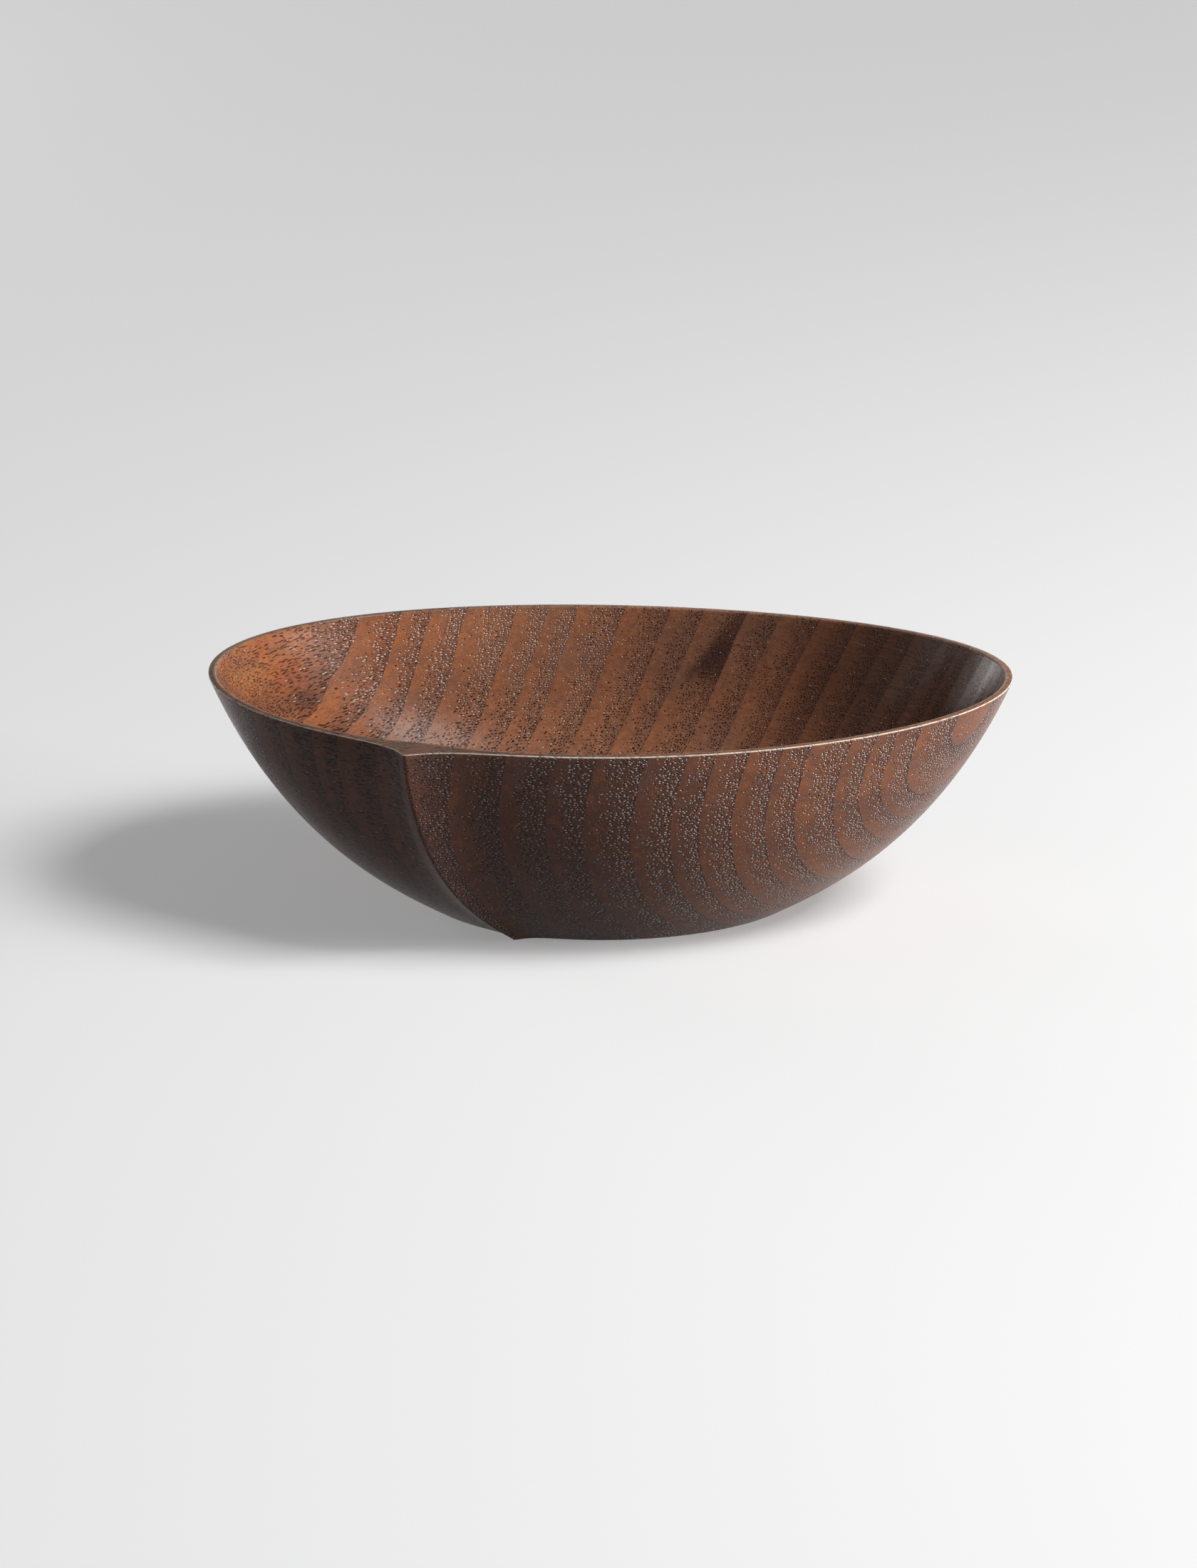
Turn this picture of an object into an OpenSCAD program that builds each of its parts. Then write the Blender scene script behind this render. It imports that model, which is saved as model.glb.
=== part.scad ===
// Oval bowl carved from one block of walnut, with a keel down its front.
// X runs along the bowl, Y from its front to its back, and Z up from the ground.
// The origin is on the ground, under the middle of the bowl.

/* [Rim] */
// Length of the rim from tip to tip
rim_length = 160; // [130:1:195]
// Width of the rim from front to back, without the keel
rim_width = 99; // [80:1:120]
// Height of the rim at the middle of the front and of the back
rim_height = 44.8; // [36:0.2:56]
// How much higher the rim is at its two tips
tip_rise = 1.5; // [0:0.1:4]
// Share of its width that the rim loses towards the right tip and gains towards the left
narrowing = 0.056; // [0:0.002:0.12]

/* [Base] */
// Length of the flat underside
base_length = 75; // [60:1:92]
// Width of the flat underside, without the keel
base_width = 58.6; // [48:0.2:72]

/* [Wall] */
// Thickness of the wall at the rim
rim_thickness = 1.5; // [1:0.1:3]
// How far the top face of the rim falls from its inner edge to its outer edge
rim_fall = 0.2; // [0:0.05:0.5]
// How much thicker the wall gets in its upper part, on the way down
wall_gain = 2.2; // [0:0.1:4]
// Thickness of the floor at its middle
floor_thickness = 5; // [3:0.1:8]

/* [Curve of the wall] */
// How far in the wall leans in its upper part at the tips, as a share of its whole overhang
tip_lean = 0.3; // [0.1:0.01:0.45]
// The same at the middle of the front and of the back
side_lean = 0.05; // [0:0.01:0.2]
// Share of the height that the upper part takes
upper_drop = 0.65; // [0.5:0.01:0.75]
// How far out the lower part spreads from the base, as a share of the whole overhang
foot_spread = 0.235; // [0.15:0.005:0.35]
// Share of the height that the lower part rises over that spread
foot_rise = 0.11; // [0.05:0.01:0.2]
// How far the floor of the hollow reaches, as a share of where the lower part ends
floor_reach = 1.05; // [0.9:0.01:1.15]

/* [Keel] */
// Angle of the keel round the oval, counted from the right tip by way of the back
keel_angle = 244.7; // [215:0.1:265]
// How far the keel stands out of the oval at the rim
keel_height = 5.5; // [2:0.1:8]
// Distance along the rim in which its right flank sinks to about a third
keel_right_fade = 4.4; // [2:0.1:10]
// Distance along the rim in which its left flank sinks to about a third
keel_left_fade = 5.6; // [2:0.1:10]
// How far the wall behind the keel stands into the hollow at the rim
keel_backing = 1.2; // [0:0.1:3]
// Distance along the rim in which that backing sinks to about a third
keel_backing_fade = 7; // [4:0.1:12]

/* [Hidden] */
columns = 120;         // points round the oval
outer_bands = 16;      // rings of facets from the rim down the outside
inner_bands = 12;      // rings of facets from the rim to the middle of the hollow
crowding = 0.3;        // spacing of the columns at the keel, as a share of their even spacing
planing_depth = 1;     // wood left under the base before it is planed flat

// Radius of the oval at the keel, and how far a point moves along the rim for each degree
keel_radius = norm([cos(keel_angle) * rim_length / 2, sin(keel_angle) * rim_width / 2]);
keel_mm_per_degree = norm([sin(keel_angle) * rim_length / 2, cos(keel_angle) * rim_width / 2]) * PI / 180;

// Point at t, from 0 to 1, on a cubic curve that leaves a towards b and reaches d from c
function curve(t, a, b, c, d) =
    pow(1 - t, 3) * a + 3 * pow(1 - t, 2) * t * b + 3 * (1 - t) * t * t * c + pow(t, 3) * d;

// Degrees from the keel of column i, from 0 at the keel to 180 opposite and back from -180
function turn(i) =
    let (s = i < columns / 2 ? 2 * i / columns : 2 * i / columns - 2)
    180 * sign(s) * (crowding * abs(s) + (1 - crowding) * s * s);
function column_angle(i) = keel_angle + turn(i);

// How many times further out than the oval the outside is, at so many degrees from the keel
function keel_factor(degrees) =
    1 + keel_height / keel_radius
        * exp(-abs(degrees) * keel_mm_per_degree / (degrees > 0 ? keel_right_fade : keel_left_fade));

// The same for the hollow, which is further in where the wall backs the keel
function backing_factor(degrees) =
    1 - keel_backing / keel_radius * exp(-pow(degrees * keel_mm_per_degree / keel_backing_fade, 2));

function lean(angle) = tip_lean + (side_lean - tip_lean) * pow(sin(angle), 2);
function rim_z(angle) = rim_height + tip_rise * pow(cos(angle), 2);

// Half of the outside's length or width at t, from the rim's half to the base's half
function outer_half(t, angle, rim, base) =
    let (overhang = rim - base)
    curve(t, rim, rim - lean(angle) * overhang, base + foot_spread * overhang, base);

// The same for the hollow, which ends at the middle of the floor
function inner_half(t, angle, rim, base) =
    let (overhang = rim - base, edge = rim - rim_thickness)
    curve(t, edge, edge - lean(angle) * overhang - wall_gain,
          floor_reach * (base + foot_spread * overhang), 0);

// Point of the oval with these half sizes
function oval(angle, half_length, half_width, z) =
    [cos(angle) * half_length, sin(angle) * (1 - narrowing * cos(angle)) * half_width, z];

function outer_point(t, i) =
    let (angle = column_angle(i), out = keel_factor(turn(i)))
    oval(angle,
         out * outer_half(t, angle, rim_length / 2, base_length / 2),
         out * outer_half(t, angle, rim_width / 2, base_width / 2),
         rim_z(angle) * curve(t, 1, 1 - upper_drop, foot_rise, 0));

function inner_point(t, i) =
    let (angle = column_angle(i), out = backing_factor(turn(i)), top = rim_z(angle) + rim_fall)
    oval(angle,
         out * inner_half(t, angle, rim_length / 2, base_length / 2),
         out * inner_half(t, angle, rim_width / 2, base_width / 2),
         floor_thickness + (top - floor_thickness) * curve(t, 1, 1 - upper_drop, 0, 0));

// Triangles of the band between two rings, numbered by their first points
function band(upper, lower) = [
    for (i = [0:columns - 1])
        let (next = (i + 1) % columns)
        each [[upper + i, upper + next, lower + next], [upper + i, lower + next, lower + i]]
];

// Triangles from a ring to the one point that closes it
function cap(ring, middle) = [for (i = [0:columns - 1]) [ring + i, ring + (i + 1) % columns, middle]];

// Turns the facets of the hollow to face up into it
function flipped(facets) = [for (f = facets) [f[2], f[1], f[0]]];

module bowl() {
    outer_rings = [for (j = [0:outer_bands], i = [0:columns - 1]) outer_point(j / outer_bands, i)];
    lowest_ring = [for (i = [0:columns - 1]) outer_point(1, i) - [0, 0, planing_depth]];
    inner_rings = [for (j = [0:inner_bands - 1], i = [0:columns - 1]) inner_point(j / inner_bands, i)];
    lowest_first = len(outer_rings);
    inner_first = lowest_first + columns;
    under_middle = inner_first + len(inner_rings);
    floor_middle = under_middle + 1;
    color("saddlebrown")
    difference() {
        polyhedron(
            points = concat(outer_rings, lowest_ring, inner_rings,
                            [[0, 0, -planing_depth], [0, 0, floor_thickness]]),
            faces = concat(
                [for (j = [0:outer_bands]) each band(j * columns, (j + 1) * columns)],
                cap(lowest_first, under_middle),
                flipped(band(0, inner_first)),
                flipped([for (j = [0:inner_bands - 2])
                    each band(inner_first + j * columns, inner_first + (j + 1) * columns)]),
                flipped(cap(inner_first + (inner_bands - 1) * columns, floor_middle))
            )
        );
        // The underside is planed flat.
        translate([-rim_length, -rim_width, -2 * planing_depth])
            cube([2 * rim_length, 2 * rim_width, 2 * planing_depth]);
    }
}

bowl();
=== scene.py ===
"""Looks of the carved walnut bowl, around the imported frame. All lengths are in metres."""
import math

import bpy
import numpy as np
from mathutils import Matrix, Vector


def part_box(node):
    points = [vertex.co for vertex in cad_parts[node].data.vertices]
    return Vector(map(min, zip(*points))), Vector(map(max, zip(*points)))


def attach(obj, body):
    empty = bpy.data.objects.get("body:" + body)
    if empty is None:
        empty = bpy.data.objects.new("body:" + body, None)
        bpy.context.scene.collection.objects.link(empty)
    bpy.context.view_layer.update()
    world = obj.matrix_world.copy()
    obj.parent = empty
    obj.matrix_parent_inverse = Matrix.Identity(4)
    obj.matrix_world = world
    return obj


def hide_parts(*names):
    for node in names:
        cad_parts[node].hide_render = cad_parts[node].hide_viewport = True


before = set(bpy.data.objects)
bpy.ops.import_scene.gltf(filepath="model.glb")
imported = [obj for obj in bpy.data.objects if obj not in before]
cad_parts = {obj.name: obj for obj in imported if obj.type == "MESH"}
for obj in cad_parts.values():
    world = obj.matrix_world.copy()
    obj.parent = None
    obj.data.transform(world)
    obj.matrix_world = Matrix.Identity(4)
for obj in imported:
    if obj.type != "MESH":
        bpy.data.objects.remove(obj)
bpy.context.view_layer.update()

MM = 0.001
LOW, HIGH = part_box("bowl")
scene = bpy.context.scene
scene.view_settings.view_transform = "Standard"

# ---------------------------------------------------------------- camera and lamps

CAMERA_PLACE = (0.0351, -0.9922, 0.3643)
CAMERA_TARGET = (-0.00227, -0.0001, 0.02247)
SENSOR_HEIGHT = 24           # in mm, as is the focal length
FOCAL_LENGTH = 80.26
FAR_CLIP = 50
LAMP_TARGET = (0, 0, 0.02)
# Name, place, size and watts
LAMPS = (
    ("key", (0.765, -0.278, 0.970), (0.50, 0.45), 13.5),
    ("side", (1.09, -0.11, 0.17), (0.40, 0.22), 9.5),
    ("low", (0.50, -1.08, 0.17), (0.40, 0.18), 0.7),
    ("back", (-1.10, -0.04, 0.29), (0.30, 0.20), 0.7),
    ("rear", (-0.86, 0.82, 0.18), (0.45, 0.25), 3.0),
)


def aim(thing, target):
    thing.rotation_euler = (Vector(target) - thing.location).to_track_quat("-Z", "Y").to_euler()


def link(thing):
    scene.collection.objects.link(thing)
    return thing


def make_camera():
    data = bpy.data.cameras.new("camera")
    data.sensor_fit = "VERTICAL"
    data.sensor_height = SENSOR_HEIGHT
    data.lens = FOCAL_LENGTH
    data.clip_end = FAR_CLIP
    camera = link(bpy.data.objects.new("camera", data))
    camera.location = CAMERA_PLACE
    aim(camera, CAMERA_TARGET)
    scene.camera = camera


def make_lamp(name, place, size, watts):
    data = bpy.data.lights.new(name, "AREA")
    data.shape = "RECTANGLE"
    data.size, data.size_y = size
    data.energy = watts
    lamp = link(bpy.data.objects.new(name, data))
    lamp.location = place
    aim(lamp, LAMP_TARGET)


make_camera()
for lamp in LAMPS:
    make_lamp(*lamp)

# ---------------------------------------------------------------- shader tools


class Shader:
    """A node tree. A value handed to a node is a number, a tuple or another node's output."""

    def __init__(self, owner):
        owner.use_nodes = True
        self.tree = owner.node_tree
        self.tree.nodes.clear()

    def feed(self, socket, value):
        if isinstance(value, bpy.types.NodeSocket):
            self.tree.links.new(value, socket)
        else:
            socket.default_value = value

    def add(self, kind, inputs=None, **settings):
        node = self.tree.nodes.new("ShaderNode" + kind)
        for key, value in settings.items():
            setattr(node, key, value)
        for key, value in (inputs or {}).items():
            self.feed(node.inputs[key], value)
        return node

    def math(self, operation, *values, clamp=False):
        node = self.add("Math", operation=operation, use_clamp=clamp)
        for i, value in enumerate(values):
            self.feed(node.inputs[i], value)
        return node.outputs[0]

    def times(self, a, b):
        return self.math("MULTIPLY", a, b)

    def plus(self, a, b):
        return self.math("ADD", a, b)

    def sum(self, *pairs):
        """Sum of factor times value over (factor, value) pairs."""
        total = 0.0
        for factor, value in pairs:
            total = self.math("MULTIPLY_ADD", value, factor, total)
        return total

    def ramp(self, value, low, high, to_low=0.0, to_high=1.0, smooth=True):
        """to_low where value is low or less, to_high where it is high or more, else between them."""
        node = self.add("MapRange", interpolation_type="SMOOTHSTEP" if smooth else "LINEAR")
        for i, v in enumerate((value, low, high, to_low, to_high)):
            self.feed(node.inputs[i], v)
        return node.outputs[0]

    def stops(self, value, points, interpolation="LINEAR"):
        """Colour along a ramp of (position, colour) points."""
        node = self.add("ValToRGB", {"Fac": value})
        ramp = node.color_ramp
        ramp.interpolation = interpolation
        while len(ramp.elements) < len(points):
            ramp.elements.new(0.5)
        for element, (position, colour) in zip(ramp.elements, points):
            element.position = position
            element.color = (*colour, 1)
        return node.outputs["Color"]

    def mix(self, share, a, b, blend="MIX"):
        """Colour a with that share of colour b."""
        node = self.add("Mix", data_type="RGBA", blend_type=blend)
        self.feed(node.inputs[0], share)
        for socket, value in ((node.inputs[6], a), (node.inputs[7], b)):
            self.feed(socket, (*value, 1) if isinstance(value, tuple) else value)
        return node.outputs[2]

    def vector(self, x, y, z):
        return self.add("CombineXYZ", {"X": x, "Y": y, "Z": z}).outputs[0]

    def noise(self, vector, scale, detail, roughness=0.5):
        return self.add("TexNoise", {"Vector": vector, "Scale": scale, "Detail": detail,
                                     "Roughness": roughness}).outputs["Fac"]

    def attribute(self, name):
        return self.add("Attribute", attribute_name=name).outputs["Fac"]


# ---------------------------------------------------------------- sky and floor

SKY_LIGHT = 0.06                       # what the sky gives to the bowl
HORIZON, OVERHEAD = 0.70, 0.09         # what is seen of it
SKY_FADE = (0.13, 0.30)                # upward part of the directions where one turns to the other
FLOOR_HALF = 12.0
FLOOR_LIT = (0.075,) * 3               # colour of the floor that lights the bowl
FLOOR_SEEN = (0.70,) * 3               # and of the one that is seen
NEAR_GLOW, FAR_GLOW = 0.25, 0.70
GLOW_FADE = (0.3, 2.5)                 # distances from the bowl


def seen_rays(shader):
    """1 for what the camera sees, directly, in a gloss or through glass, and 0 for what gives light."""
    rays = shader.add("LightPath").outputs
    by_other_ways = shader.plus(rays["Is Glossy Ray"], rays["Is Transmission Ray"])
    return shader.math("ADD", rays["Is Camera Ray"], by_other_ways, clamp=True)


world = bpy.data.worlds.new("studio")
scene.world = world
sky = Shader(world)
upward = sky.add("SeparateXYZ", {0: sky.add("TexCoord").outputs["Generated"]}).outputs["Z"]
seen_sky = sky.ramp(upward, *SKY_FADE, HORIZON, OVERHEAD)
strength = sky.ramp(seen_rays(sky), 0, 1, SKY_LIGHT, seen_sky)
background = sky.add("Background", {"Color": (1, 1, 1, 1), "Strength": strength})
sky.feed(sky.add("OutputWorld").inputs["Surface"], background.outputs[0])

floor_data = bpy.data.meshes.new("floor")
corners = [(i * FLOOR_HALF, j * FLOOR_HALF, 0) for i, j in ((-1, -1), (1, -1), (1, 1), (-1, 1))]
floor_data.from_pydata(corners, [], [(0, 1, 2, 3)])
floor = link(bpy.data.objects.new("floor", floor_data))
floor_material = bpy.data.materials.new("floor_pale")
paint = Shader(floor_material)
# The eye and reflections see a paler floor than the one that lights the bowl from below,
# and its far part glows a little more, where the lamps no longer reach
seen = seen_rays(paint)
from_bowl = paint.add("VectorMath", {0: paint.add("TexCoord").outputs["Object"]}, operation="LENGTH")
glow = paint.ramp(from_bowl.outputs["Value"], *GLOW_FADE, NEAR_GLOW, FAR_GLOW)
floor_bsdf = paint.add("BsdfPrincipled", {
    "Base Color": paint.mix(seen, FLOOR_LIT, FLOOR_SEEN), "Roughness": 0.8, "Specular IOR Level": 0.1,
    "Emission Color": (1, 1, 1, 1), "Emission Strength": paint.times(seen, glow)})
paint.feed(paint.add("OutputMaterial").inputs["Surface"], floor_bsdf.outputs[0])
floor_data.materials.append(floor_material)

# ---------------------------------------------------------------- the bowl's shape

# These sizes are those of the CAD source
NARROWING = 0.056
TIP_RISE = 1.5 * MM
RIM_FALL = 0.2 * MM
BASE_HALF = np.array([75.0, 58.6]) / 2 * MM
RIM_THICKNESS = 1.5 * MM
WALL_GAIN = 2.2 * MM
FLOOR_THICKNESS = 5 * MM
TIP_LEAN, SIDE_LEAN = 0.3, 0.05
UPPER_DROP = 0.65
FOOT_SPREAD, FOOT_RISE = 0.235, 0.11
FLOOR_REACH = 1.05
KEEL_ANGLE = math.radians(244.7)
KEEL_HEIGHT = 5.5 * MM
KEEL_RIGHT_FADE, KEEL_LEFT_FADE = 4.4 * MM, 5.6 * MM
KEEL_BACKING, KEEL_BACKING_FADE = 1.2 * MM, 7 * MM

# The rim's half sizes and height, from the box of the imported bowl
around = np.radians(np.arange(0, 360, 0.1))
widest = np.max(np.sin(around) * (1 - NARROWING * np.cos(around)))
RIM_HALF = np.array([(HIGH.x - LOW.x) / 2, HIGH.y / widest])
RIM_HEIGHT = HIGH.z - TIP_RISE - RIM_FALL

KEEL_EDGE = 0.15 * MM        # rounding of the keel's ridge
OUTER_ARRIS = 0.28 * MM      # rounding of the rim's two edges
INNER_ARRIS = 0.55 * MM
BASE_ARRIS = 0.6 * MM

COLUMNS = 440                # points round the oval
CROWDING = 0.4               # their spacing at the keel, as a share of their even spacing
UNDER_RINGS = 8              # rings of the underside, the first at a small share of its size
UNDER_MIDDLE = 0.08
BASE_STEPS, OUTER_STEPS, INNER_STEPS = 6, 6, 7     # rings of each rounding
OUTER_BANDS, INNER_BANDS, TOP_BANDS = 96, 76, 4
# The attribute "outside" is 1 outside and 0 in the hollow, and falls from one to the other over the rim
OUTSIDE_OUTER, OUTSIDE_TOP, OUTSIDE_INNER = (0.9, 0.5), 0.5, (0.4, 0.1)
INNER_WEAR_AND_HIGHLIGHT = 0.35            # how strong the wear and painted highlight are on the rim's inner edge, against its outer edge
PROBE = 1e-3                 # step of t that measures how fast a wall moves away

# Radius of the oval at the keel, and how far a point moves along the rim for each radian
KEEL_RADIUS = np.hypot(math.cos(KEEL_ANGLE) * RIM_HALF[0], math.sin(KEEL_ANGLE) * RIM_HALF[1])
KEEL_RATE = np.hypot(math.sin(KEEL_ANGLE) * RIM_HALF[0], math.cos(KEEL_ANGLE) * RIM_HALF[1])


def bezier(t, a, b, c, d):
    return (1 - t) ** 3 * a + 3 * (1 - t) ** 2 * t * b + 3 * (1 - t) * t * t * c + t ** 3 * d


step = 2 * np.arange(COLUMNS) / COLUMNS
step = np.where(step < 1, step, step - 2)
turn = math.pi * np.sign(step) * (CROWDING * np.abs(step) + (1 - CROWDING) * step ** 2)
angle = KEEL_ANGLE + turn
cosine, sine = np.cos(angle), np.sin(angle)
from_keel = turn * KEEL_RATE
fade = np.where(turn > 0, KEEL_RIGHT_FADE, KEEL_LEFT_FADE)
from_ridge = np.hypot(from_keel, KEEL_EDGE) - KEEL_EDGE
keel_factor = 1 + KEEL_HEIGHT / KEEL_RADIUS * np.exp(-from_ridge / fade)
backing_factor = 1 - KEEL_BACKING / KEEL_RADIUS * np.exp(-(from_keel / KEEL_BACKING_FADE) ** 2)
lean = TIP_LEAN + (SIDE_LEAN - TIP_LEAN) * sine ** 2
rim_top = RIM_HEIGHT + TIP_RISE * cosine ** 2
PLAN = np.stack([cosine, sine * (1 - NARROWING * cosine)], -1)


def placed(factor, halves, height):
    """Ring of points of the oval with these half sizes, that factor further out."""
    return np.stack([PLAN[:, 0] * factor * halves[0], PLAN[:, 1] * factor * halves[1], height], -1)


def outer_wall(t):
    """One ring of points on the outside, at t from 0 at the rim to 1 at the base. t is one number, or
    one per column."""
    t = np.broadcast_to(t, angle.shape)
    halves = []
    for rim, base in zip(RIM_HALF, BASE_HALF):
        overhang = rim - base
        halves.append(bezier(t, rim, rim - lean * overhang, base + FOOT_SPREAD * overhang, base))
    height = rim_top * bezier(t, 1, 1 - UPPER_DROP, FOOT_RISE, 0)
    return placed(keel_factor, halves, height)


def inner_wall(t):
    """The same on the hollow, at t from 0 at the rim to 1 at the middle of the floor."""
    t = np.broadcast_to(t, angle.shape)
    halves = []
    for rim, base in zip(RIM_HALF, BASE_HALF):
        overhang = rim - base
        edge = rim - RIM_THICKNESS
        halves.append(bezier(t, edge, edge - lean * overhang - WALL_GAIN,
                             FLOOR_REACH * (base + FOOT_SPREAD * overhang), 0))
    depth = rim_top + RIM_FALL - FLOOR_THICKNESS
    height = FLOOR_THICKNESS + depth * bezier(t, 1, 1 - UPPER_DROP, 0, 0)
    return placed(backing_factor, halves, height)


def pull_in(wall, at, distance):
    """The t at which a wall is that distance from its point at t = at, for each column."""
    away = PROBE if at == 0 else -PROBE
    speed = np.linalg.norm(wall(at + away) - wall(at), axis=1) / abs(away)
    return at + np.sign(away) * distance / speed


def rounded(start, corner, end, steps):
    """Rings from start to end that round off the corner. The first and the last are start and end."""
    return [(1 - k) ** 2 * start + 2 * k * (1 - k) * corner + k * k * end
            for k in np.linspace(0, 1, steps)]


rings, outside, arris, rim_face = [], [], [], []


def lay(ring, is_outside, on_arris=0.0, on_top=0.0):
    rings.append(ring)
    outside.append(is_outside)
    arris.append(on_arris)
    rim_face.append(on_top)


# The underside, from its middle out to its rounded edge
base_edge = outer_wall(1.0)
base_start = base_edge * (1 - BASE_ARRIS / np.linalg.norm(base_edge, axis=1))[:, None]
for share in np.linspace(UNDER_MIDDLE, 1, UNDER_RINGS + 1)[:-1]:
    lay(base_start * share, 1.0)
t_base = pull_in(outer_wall, 1.0, BASE_ARRIS)
for ring in rounded(base_start, base_edge, outer_wall(t_base), BASE_STEPS):
    lay(ring, 1.0)
# The outside, up to the rim
t_rim = pull_in(outer_wall, 0.0, OUTER_ARRIS)
for k in range(1, OUTER_BANDS):
    lay(outer_wall(t_base + (t_rim - t_base) * k / OUTER_BANDS), 1.0)
# The rim: outer edge, top, inner edge
outer_corner, inner_corner = outer_wall(0.0), inner_wall(0.0)
across = inner_corner - outer_corner
width = np.linalg.norm(across, axis=1)[:, None]
top_start = outer_corner + across * OUTER_ARRIS / width
top_end = inner_corner - across * INNER_ARRIS / width
for i, ring in enumerate(rounded(outer_wall(t_rim), outer_corner, top_start, OUTER_STEPS)):
    part = i / (OUTER_STEPS - 1)
    lay(ring, np.interp(part, (0, 1), OUTSIDE_OUTER), math.sin(math.pi * part), part)
for k in range(1, TOP_BANDS):
    lay(top_start + (top_end - top_start) * k / TOP_BANDS, OUTSIDE_TOP, on_top=1.0)
t_inside = pull_in(inner_wall, 0.0, INNER_ARRIS)
for i, ring in enumerate(rounded(top_end, inner_corner, inner_wall(t_inside), INNER_STEPS)):
    part = i / (INNER_STEPS - 1)
    lay(ring, np.interp(part, (0, 1), OUTSIDE_INNER), INNER_WEAR_AND_HIGHLIGHT * math.sin(math.pi * part), 1 - part)
# The hollow, down to its middle
for k in range(1, INNER_BANDS):
    lay(inner_wall(t_inside + (1 - t_inside) * k / INNER_BANDS), 0.0)

bottom = len(rings) * COLUMNS
points = np.concatenate(rings + [[[0, 0, 0], [0, 0, FLOOR_THICKNESS]]])
points = np.clip(points, np.array(LOW), np.array(HIGH))
faces = []
for j in range(len(rings) - 1):
    for i in range(COLUMNS):
        n = (i + 1) % COLUMNS
        faces.append((j * COLUMNS + i, j * COLUMNS + n, (j + 1) * COLUMNS + n, (j + 1) * COLUMNS + i))
last = (len(rings) - 1) * COLUMNS
for i in range(COLUMNS):
    n = (i + 1) % COLUMNS
    faces.append((n, i, bottom))
    faces.append((last + i, last + n, bottom + 1))

mesh = bpy.data.meshes.new("carved_bowl")
mesh.from_pydata(points.tolist(), [], faces)
mesh.update()
mesh.polygons.foreach_set("use_smooth", [True] * len(mesh.polygons))


def per_point(per_ring, *ends):
    """One value for every point, from one for each ring and those of the last two points."""
    return np.concatenate([np.repeat(per_ring, COLUMNS), ends])


def store(name, values):
    mesh.attributes.new(name, "FLOAT", "POINT").data.foreach_set("value", values.astype(np.float32))


outside = per_point(outside, 1, 0)
store("outside", outside)
store("arris", per_point(arris, 0, 0))
store("rim_face", per_point(rim_face, 0, 0))


def between(values, low, high):
    """0 up to low, 1 from high, and smooth between."""
    t = np.clip((values - low) / (high - low), 0, 1)
    return t * t * (3 - 2 * t)


# What share of the pores gets a painted glint, a pale spot that stands in for a highlight where the
# light falls: most of them right of the keel outside, and at the back left of the hollow. Places are in
# mm
px, py, pz = (points / MM).T
glint_share_outside = 0.20 + 0.72 * between(px, -36, -26) * between(-py, -10, 10)
back_left = between(py, 16, 34) * between(-px, -12, 14) * between(px, -66, -56)
glint_share_inside = 0.04 + 0.92 * back_left * between(pz, 14, 34)
store("painted_glint", glint_share_outside * outside + glint_share_inside * (1 - outside))
bowl = link(bpy.data.objects.new("carved_bowl", mesh))

# ---------------------------------------------------------------- walnut

# Lengths in the wood are in mm
RING_HEADING = math.radians(36.5)      # the growth rings face this way, turned from +X towards -Y
# Where the rings' sharp lines cross, along the heading
CLOUD_LINE = -9.5
RING_LINES = (-84, -78, -72, -66, -60, -49.5, -47.5, -45.5, -43, -39, -36, -33, -27.5, -21.5, -16.8,
              CLOUD_LINE, -3.5, 4, 12, 20, 26.5, 34.5, 41, 45.5, 50.5, 55.5, 59.6, 64.8, 67.8, 70,
              72.4, 74.8)
WIDEST = 12.0                          # no ring is wider
BAND_REACH = 8.0                       # how far left of a line its band may reach
MID_HEIGHT = 22.0
OUTSIDE_FROM = 0.45                    # from this value of "outside" on, pores are those of the outside
PORE_EDGE = (-0.05, 0.03)              # a pore gets shallower from inside its radius to outside it
GLINT_ASIDE, GLINT_DOWN = 0.070, 0.050     # how far the painted glint lies from the middle of its pore

PLAIN_WOOD = (0.385, 0.150, 0.072)
# Colours left of a line, by their distance from it as a share of BAND_REACH
BAND = (
    (0.000, (0.060, 0.026, 0.020)),
    (0.018, (0.060, 0.026, 0.020)),
    (0.032, (0.190, 0.077, 0.053)),
    (0.110, (0.250, 0.100, 0.060)),
    (0.240, (0.325, 0.128, 0.067)),
    (0.480, PLAIN_WOOD),
    (1.000, PLAIN_WOOD),
)
DARK_RING = (0.115, 0.050, 0.038)
WARM_PATCH = (0.500, 0.165, 0.048)
RED_AMBER, YELLOW_AMBER = (0.420, 0.105, 0.034), (0.530, 0.222, 0.070)
BROAD_SHADE = (0.100, 0.046, 0.038)
# Painted shade outside, a painted sheen in the middle of the hollow, and painted shade at its right
PAINTED_SHADE_OUTSIDE = (0.100, 0.044, 0.036)
PAINTED_SHEEN_MIDDLE = (0.540, 0.285, 0.185)
PAINTED_SHADE_RIGHT = (0.105, 0.062, 0.044)
PURPLISH, REDDISH = (0.235, 0.118, 0.105), (0.430, 0.150, 0.066)
DEEPER_ORANGE = (0.87, 0.80, 0.70)     # multiplies the wood's colour
ORANGE_PATCH, OLIVE_PATCH = (0.520, 0.178, 0.060), (0.215, 0.115, 0.078)
CLOUD = (0.050, 0.021, 0.019)
EYE = (0.095, 0.036, 0.028)
EYE_U, EYE_V, EYE_H = -63.0, -20.9, 10.4           # place of the eye
EYE_SIZE = (6.0, 5.2, 2.2)
DARK_FIBRE = (0.080, 0.036, 0.028)
PALE_RAY, DARK_RAY = (0.480, 0.190, 0.085), (0.075, 0.034, 0.024)
DARK_MOTTLE = (0.120, 0.058, 0.048)
NEAR_PORES = (0.045, 0.024, 0.021)
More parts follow.
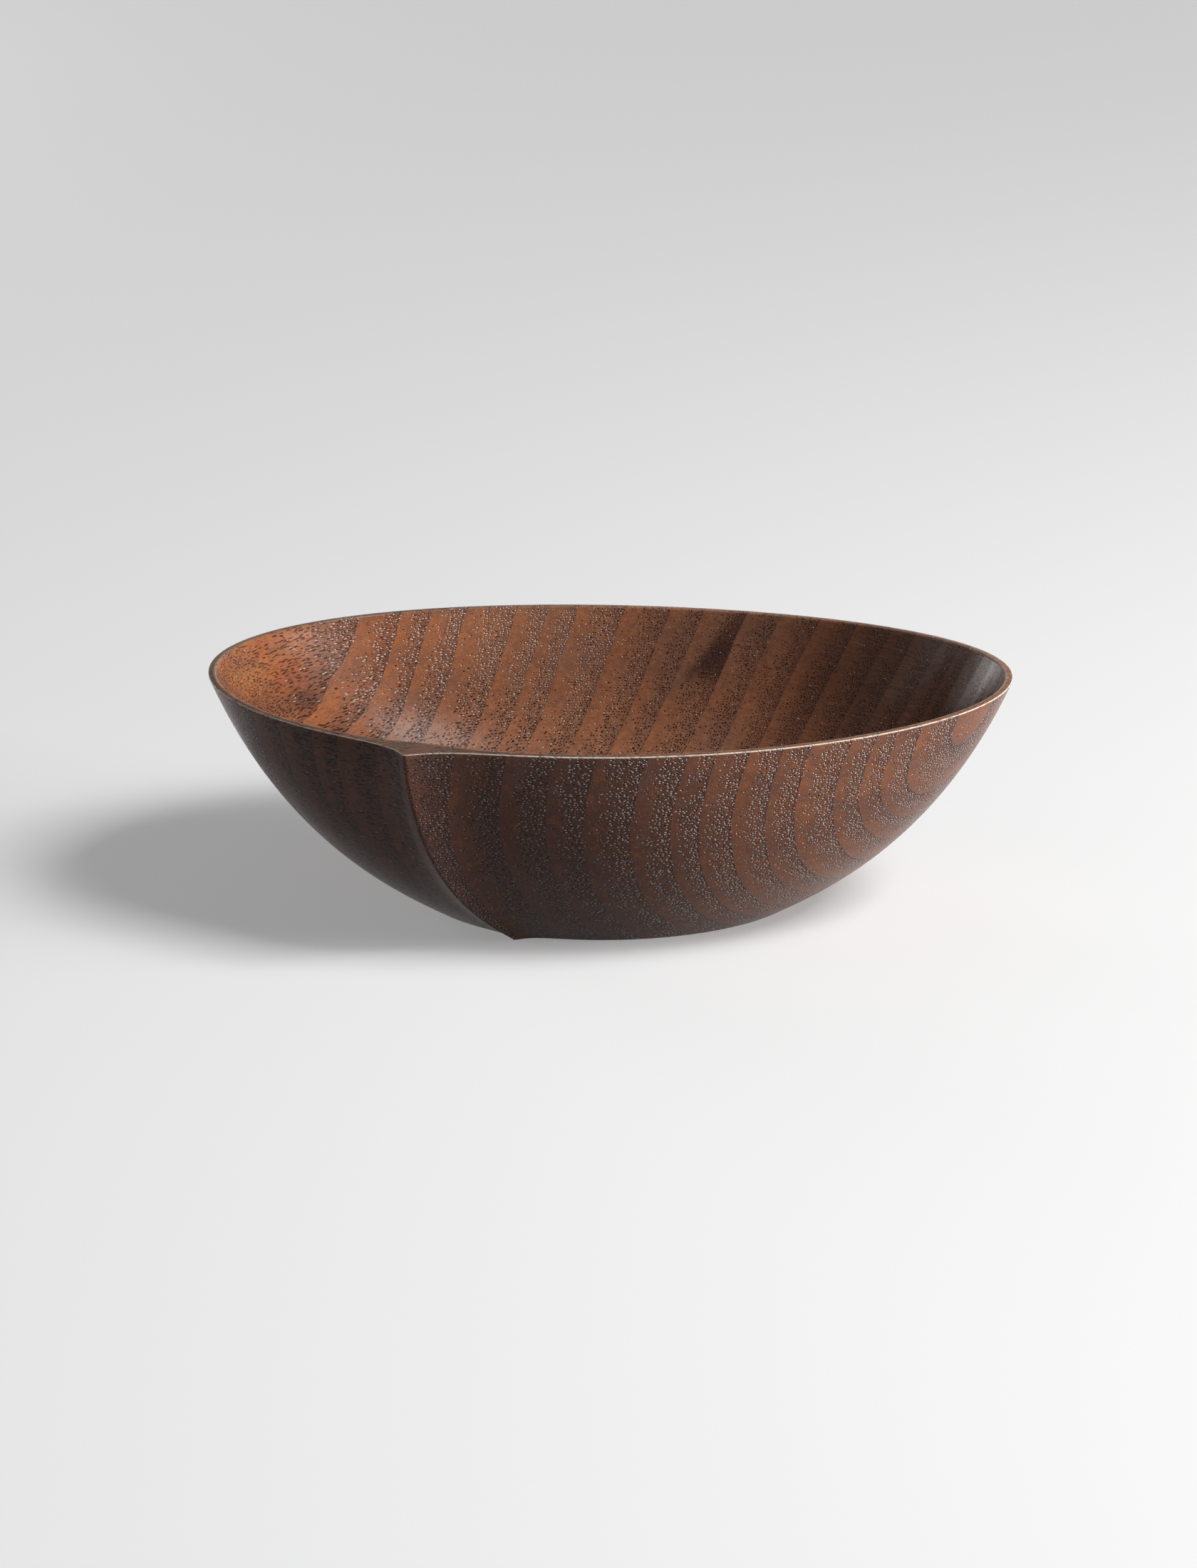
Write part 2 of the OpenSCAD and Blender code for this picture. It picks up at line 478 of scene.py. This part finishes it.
SMALL_PORE, LARGE_PORE = (0.034, 0.020, 0.017), (0.022, 0.014, 0.012)
# Pale colour of the painted glints in the pores, a painted highlight
GLINT_COLOUR = (0.820, 0.740, 0.690)
DULL_RIM = (0.050, 0.029, 0.019), (0.205, 0.130, 0.082)
WARM_RIM = (0.170, 0.080, 0.045), (0.450, 0.230, 0.130)
WEAR_AND_HIGHLIGHT_EDGE = (0.940, 0.800, 0.680)

walnut = bpy.data.materials.new("walnut")
wood = Shader(walnut)
place = wood.add("TexCoord").outputs["Object"]
place = wood.add("VectorMath", {0: place, "Scale": 1 / MM}, operation="SCALE").outputs[0]
x, y, z = wood.add("SeparateXYZ", {0: place}).outputs
c, s = math.cos(RING_HEADING), math.sin(RING_HEADING)
u = wood.sum((c, x), (-s, y))          # across the rings
v = wood.sum((s, x), (c, y))           # along the grain
h = wood.plus(z, -MID_HEIGHT)          # up
outer_side = wood.attribute("outside")
inner_side = wood.math("SUBTRACT", 1.0, outer_side)
painted_glint = wood.attribute("painted_glint")

# Position across the rings, with their bend and their small waves
grain_place = wood.vector(u, wood.times(v, 0.25), h)
waves = wood.noise(grain_place, 0.05, 1.0)
ripples = wood.noise(grain_place, 0.22, 2.0)
tip_turn = wood.times(wood.math("MAXIMUM", wood.sum((-1, u), (1, -54.0)), 0.0),
                      wood.math("MAXIMUM", wood.sum((-1, v), (1, -12.0)), 0.0))
end_turn = wood.times(wood.math("MAXIMUM", v, 0.0), wood.math("MINIMUM", h, 0.0))
end_turn = wood.times(end_turn, wood.ramp(u, 46, 54))
crown = wood.times(wood.times(h, h), wood.ramp(u, 38, 56, -0.003, 0.0, smooth=False))
bent = wood.sum((1, u), (-0.09, h), (1, crown), (-0.004, wood.times(u, h)),
                (-0.0014, wood.times(v, h)), (0.003, wood.times(u, u)),
                (-0.016, tip_turn), (-0.013, end_turn),
                (1.4, wood.plus(waves, -0.5)), (0.35, wood.plus(ripples, -0.5)))

# How many lines lie left of a point, counted with the part of a ring, and how wide that ring is
first, last_line = RING_LINES[0], RING_LINES[-1]
ring_total = len(RING_LINES) - 1
shares = [(line - first) / (last_line - first) for line in RING_LINES]
ring_points = [(share, (k / ring_total,) * 3) for k, share in enumerate(shares)]
width_points = [(share, ((right - left) / WIDEST,) * 3)
                for share, left, right in zip(shares, RING_LINES, RING_LINES[1:])]
along = wood.ramp(bent, first, last_line, smooth=False)
ring_count = wood.times(wood.stops(along, ring_points), float(ring_total))
ring_width = wood.times(wood.stops(along, width_points, "CONSTANT"), WIDEST)
phase = wood.math("FRACT", ring_count)          # 0 just right of a line, 1 just left of the next
ring_random = wood.add("TexWhiteNoise", {"W": wood.math("FLOOR", ring_count)}, noise_dimensions="1D")

# Colour of the rings: plain right of a line, and darker within a few mm left of the next. Some bands
# are faint, and so is the band outside and under the painted glints
to_line = wood.times(wood.math("SUBTRACT", 1.0, phase), ring_width)
band = wood.stops(wood.times(to_line, 1 / BAND_REACH), BAND)
blotch = wood.noise(wood.vector(u, wood.times(v, 0.4), h), 0.16, 2.0)
faintness = wood.plus(wood.times(ring_random.outputs["Color"], 0.6), blotch)
faintness = wood.ramp(faintness, 0.55, 1.05, 0.0, 0.60)
even = wood.times(wood.math("MAXIMUM", outer_side, wood.times(painted_glint, wood.ramp(bent, -51, -48))),
                  wood.ramp(to_line, 0.15, 0.45, 0.0, 0.45))
faint = wood.math("MAXIMUM", wood.times(faintness, 0.35), even)
colour = wood.mix(faint, band, PLAIN_WOOD)
colour = wood.mix(wood.ramp(ring_random.outputs["Value"], 0, 1, 0.0, 0.22), colour, DARK_RING)

# Warm and amber patches, most at the left end, and broad shade
warmth = wood.times(wood.ramp(bent, -58, 5, 0.75, 0.15), wood.ramp(outer_side, 0, 1, 1.0, 0.25))
patches = wood.noise(wood.vector(u, wood.times(v, 0.3), h), 0.06, 3.0)
near_line = wood.ramp(to_line, 0.2, 1.8, 0.25, 1.0)
warmth = wood.times(wood.times(wood.ramp(patches, 0.36, 0.60), warmth), near_line)
colour = wood.mix(warmth, colour, WARM_PATCH)
amber = wood.mix(wood.ramp(wood.sum((1, patches), (0.014, h)), 0.52, 0.74), RED_AMBER, YELLOW_AMBER)
colour = wood.mix(wood.times(wood.ramp(bent, -52.5, -50.5, 0.75, 0.0), near_line), colour, amber)
shade = wood.noise(wood.vector(u, wood.times(v, 0.2), h), 0.13, 3.0)
colour = wood.mix(wood.ramp(shade, 0.34, 0.60, 0.34, 0.0), colour, BROAD_SHADE)

# Painted shade darkens the outside towards the left; a painted sheen makes the hollow pale in the
# middle, and painted shade darkens it at the right
colour = wood.mix(wood.times(outer_side, wood.ramp(bent, 22, 62, 0.78, 0.0)), colour, PAINTED_SHADE_OUTSIDE)
# Painted sheen, paler in the middle of the hollow
painted_light_share = wood.times(wood.ramp(bent, -50, -36), wood.ramp(bent, -8, 14, 0.44, 0.0))
colour = wood.mix(wood.times(inner_side, painted_light_share), colour, PAINTED_SHEEN_MIDDLE)
# Painted shade, darker at the right of the hollow
colour = wood.mix(wood.times(inner_side, wood.ramp(bent, -4, 24, 0.0, 0.74)), colour, PAINTED_SHADE_RIGHT)

# Soft purplish and reddish patches outside
tint = wood.noise(wood.vector(u, wood.times(v, 0.8), h), 0.35, 3.0, 0.6)
colour = wood.mix(wood.times(outer_side, wood.ramp(tint, 0.50, 0.66, 0.0, 0.38)), colour, PURPLISH)
colour = wood.mix(wood.times(outer_side, wood.ramp(tint, 0.34, 0.48, 0.34, 0.0)), colour, REDDISH)

# The left end of the hollow is a deeper orange
left_end = wood.times(inner_side, wood.ramp(bent, -50, -30, 1.0, 0.0))
colour = wood.mix(left_end, colour, DEEPER_ORANGE, "MULTIPLY")

# Orange and olive patches in the hollow, orange mostly right of a line
orange = wood.times(inner_side, wood.ramp(phase, 0.15, 0.75, 1.0, 0.25))
orange = wood.times(orange, wood.ramp(bent, -8, 12, 1.0, 0.2))
colour = wood.mix(wood.times(orange, wood.ramp(patches, 0.40, 0.56, 0.0, 0.42)), colour, ORANGE_PATCH)
colour = wood.mix(wood.times(inner_side, wood.ramp(tint, 0.50, 0.64, 0.0, 0.30)), colour, OLIVE_PATCH)

# A dark cloud in the back wall, left of one ring's line, and a darker eye in the left end of the hollow
left_edge = wood.sum((1, bent), (-0.27, h), (1, 18.4),
                     (2.2, wood.plus(shade, -0.5)), (1.4, wood.plus(ripples, -0.5)))
right_edge = wood.ramp(bent, CLOUD_LINE - 0.35, CLOUD_LINE + 0.25, 1.0, 0.0)
cloud = wood.times(wood.times(wood.ramp(left_edge, -0.9, 1.8), wood.ramp(h, 5.5, 12.0)),
                   wood.times(right_edge, wood.ramp(v, 32, 38)))
colour = wood.mix(wood.times(cloud, wood.ramp(h, 15, 23, 0.84, 0.44)), colour, CLOUD)
eye_v = wood.plus(v, -EYE_V)
eye_place = wood.vector(wood.times(wood.plus(u, -EYE_U), 1 / EYE_SIZE[0]),
                        wood.times(eye_v, 1 / EYE_SIZE[1]),
                        wood.times(wood.sum((1, h), (1, -EYE_H), (0.12, eye_v)), 1 / EYE_SIZE[2]))
from_eye = wood.add("VectorMath", {0: eye_place}, operation="LENGTH").outputs["Value"]
from_eye = wood.plus(from_eye, wood.times(shade, 0.8))
colour = wood.mix(wood.ramp(from_eye, 0.7, 1.7, 0.75, 0.0), colour, EYE)

# Fine fibres along the grain, and rays across the rings
fibres = wood.vector(wood.times(u, 5.0), wood.times(v, 0.6), wood.times(h, 5.0))
fibres = wood.noise(fibres, 1.0, 3.0, 0.6)
wood_rays = wood.vector(wood.times(u, 0.3), wood.times(v, 0.9), wood.times(h, 5.5))
wood_rays = wood.noise(wood_rays, 1.0, 2.0, 0.6)
mottle = wood.noise(wood.vector(u, wood.times(v, 0.6), h), 0.9, 3.0, 0.6)
colour = wood.mix(wood.ramp(fibres, 0.35, 0.65, 0.24, 0.0), colour, DARK_FIBRE)
ray_share = wood.ramp(outer_side, 0, 1, 1.0, 0.25)
colour = wood.mix(wood.times(wood.ramp(wood_rays, 0.50, 0.70, 0.0, 0.40), ray_share), colour, PALE_RAY)
colour = wood.mix(wood.times(wood.ramp(wood_rays, 0.32, 0.48, 0.30, 0.0), ray_share), colour, DARK_RAY)
colour = wood.mix(wood.ramp(mottle, 0.38, 0.62, 0.30, 0.0), colour, DARK_MOTTLE)

is_outer = wood.math("GREATER_THAN", outer_side, OUTSIDE_FROM)


def pores(cell, stretch, small, large, share, offset):
    """Open vessels, seen where the surface cuts them: how deep in one a point is, from 0 to 1, how near
    the painted glint on its lower left side is, a pale spot that stands in for a highlight, and a
    random number for each. Each cell holds one, with a radius from small to large, in that share of the
    cells. In the hollow they are long along v. Outside they are long along u, so that the front cuts
    them nearly across."""

    def each(*pairs):
        """Vector along u, v and h from pairs of numbers, one for the hollow and one for the outside."""
        return wood.vector(*[wood.ramp(is_outer, 0, 1, hollow, outer, smooth=False)
                             for hollow, outer in pairs])

    def combine(operation, a, b):
        return wood.add("VectorMath", {0: a, 1: b}, operation=operation).outputs[0]

    def length(a):
        return wood.add("VectorMath", {0: a}, operation="LENGTH").outputs["Value"]

    wander = wood.noise(wood.vector(u, wood.times(v, 0.5), h), 0.5, 1.0)
    from_origin = wood.vector(wood.sum((1, u), (1, wander), (1, offset * cell)), v, h)
    scales = each((1 / cell, 0.5 / cell), (1 / (cell * stretch), 0.85 / cell), (1 / cell, 0.9 / cell))
    vessel_place = combine("MULTIPLY", from_origin, scales)
    vessel = wood.add("TexVoronoi", {"Vector": vessel_place, "Scale": 1.0, "Randomness": 0.8})
    away = combine("SUBTRACT", vessel_place, vessel.outputs["Position"])
    away = combine("MULTIPLY", away, each((1.0, 0.35), (0.35, 0.90), (1.0, 1.0)))
    # The painted glint, a pale spot that stands in for a highlight, lies aside and down from the middle
    # of the pore
    aside, down = GLINT_ASIDE / cell, GLINT_DOWN / cell
    to_glint = each((aside, 0.0), (0.0, aside), (down, down))
    from_glint = length(combine("ADD", away, to_glint))
    chance = wood.add("SeparateColor", {0: vessel.outputs["Color"]})
    there = wood.math("LESS_THAN", chance.outputs[0], share)
    radius = wood.ramp(chance.outputs[1], 0, 1, small / cell, large / cell, smooth=False)
    past_radius = wood.math("SUBTRACT", length(away), radius)
    depth = wood.ramp(past_radius, PORE_EDGE[0] / cell, PORE_EDGE[1] / cell, 1.0, 0.0)
    painted_light_share = wood.ramp(from_glint, wood.times(radius, 0.35), wood.times(radius, 0.90), 1.0, 0.0)
    return wood.times(there, depth), wood.times(there, painted_light_share), chance.outputs[2]


# The pores are few right of a line, and crowd towards the next
crowd_phase = wood.sum((1, phase), (0.35, wood.plus(mottle, -0.5)), (0.80, wood.plus(blotch, -0.5)))
crowd_points = ((0.0, 0.04), (0.22, 0.09), (0.40, 0.48), (0.56, 0.90), (1.0, 0.98))
crowd = wood.stops(crowd_phase, [(at, (share,) * 3) for at, share in crowd_points])
small_crowd = wood.ramp(crowd, 0, 1, 0.40, 0.65)
large_pore, large_glint_spot, large_random = pores(
    cell=0.50, stretch=2.0, small=0.118, large=0.165, share=crowd, offset=0.0)
small_pore, small_glint_spot, small_random = pores(
    cell=0.33, stretch=3.0, small=0.045, large=0.080, share=small_crowd, offset=31.7)

around_pores = wood.times(wood.ramp(crowd, 0.3, 1.0), wood.ramp(bent, 20, 58, 0.28, 0.05))
colour = wood.mix(wood.times(around_pores, outer_side), colour, NEAR_PORES)
colour = wood.mix(wood.times(small_pore, 0.65), colour, SMALL_PORE)

# A pore with a painted glint is less dark, and the glint is a pale painted highlight
small_glint_pore = wood.math("LESS_THAN", small_random, wood.times(painted_glint, 0.75))
glint_pore = wood.math("LESS_THAN", large_random, painted_glint)
pore_share = wood.ramp(glint_pore, 0, 1, 0.90, wood.ramp(is_outer, 0, 1, 0.55, 0.75))
pore_share = wood.times(pore_share, wood.ramp(bent, -53, -48, 0.72, 1.0))
colour = wood.mix(wood.times(large_pore, pore_share), colour, LARGE_PORE)
inside_glint_strength, outside_glint_strength = wood.ramp(x, -62, -48, 0.70, 0.92), wood.ramp(x, -32, 18, 0.42, 0.88)
glint_strength = wood.ramp(is_outer, 0, 1, inside_glint_strength, outside_glint_strength)
large_glint = wood.times(wood.times(glint_pore, large_glint_spot), glint_strength)
small_glint = wood.times(wood.times(small_glint_pore, small_glint_spot), glint_strength)
colour = wood.mix(wood.math("MAXIMUM", large_glint, wood.times(small_glint, 0.80)), colour, GLINT_COLOUR)

# The rim's top face is a duller brown at the left and warmer at the right, with fine scratches
scratch = wood.vector(wood.times(x, 0.5), wood.times(y, 3.5), wood.times(z, 3.5))
scratch = wood.noise(scratch, 1.0, 3.0, 0.65)
rim_colour = wood.mix(wood.ramp(scratch, 0.40, 0.60), *DULL_RIM)
warm_rim = wood.mix(wood.ramp(scratch, 0.35, 0.65), *WARM_RIM)
rim_colour = wood.mix(wood.ramp(x, -20, 30), rim_colour, warm_rim)
colour = wood.mix(wood.times(wood.attribute("rim_face"), 0.62), colour, rim_colour)

# Paler edges of the rim, partly wear and partly a painted highlight, stronger at the front and the
# right
wear_and_highlight = wood.times(wood.attribute("arris"), wood.ramp(y, -5.0, 25.0, 1.0, 0.25))
wear_and_highlight = wood.times(wear_and_highlight, wood.ramp(wood.noise(place, 0.8, 3.0, 0.65), 0.30, 0.52, 0.35, 1.0))
wear_and_highlight = wood.times(wear_and_highlight, wood.ramp(x, -45, 0, 0.50, 1.0))
colour = wood.mix(wood.times(wear_and_highlight, 0.95), colour, WEAR_AND_HIGHLIGHT_EDGE)

# Relief and shine
grain_relief = wood.sum((-0.16, large_pore), (-0.05, small_pore), (0.012, fibres))
bump = wood.add("Bump", {"Strength": 1.0, "Distance": MM, "Height": grain_relief})
roughness = wood.sum((0.14, wood.noise(place, 0.12, 2.0)), (0.10, fibres), (-0.12, large_pore))
roughness = wood.math("ADD", roughness, 0.19, clamp=True)

bsdf = wood.add("BsdfPrincipled", {"Base Color": colour, "Roughness": roughness,
                                   "Normal": bump.outputs[0], "IOR": 1.45, "Specular IOR Level": 0.2})
wood.feed(wood.add("OutputMaterial").inputs["Surface"], bsdf.outputs[0])
mesh.materials.append(walnut)

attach(bowl, "root")
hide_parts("bowl")
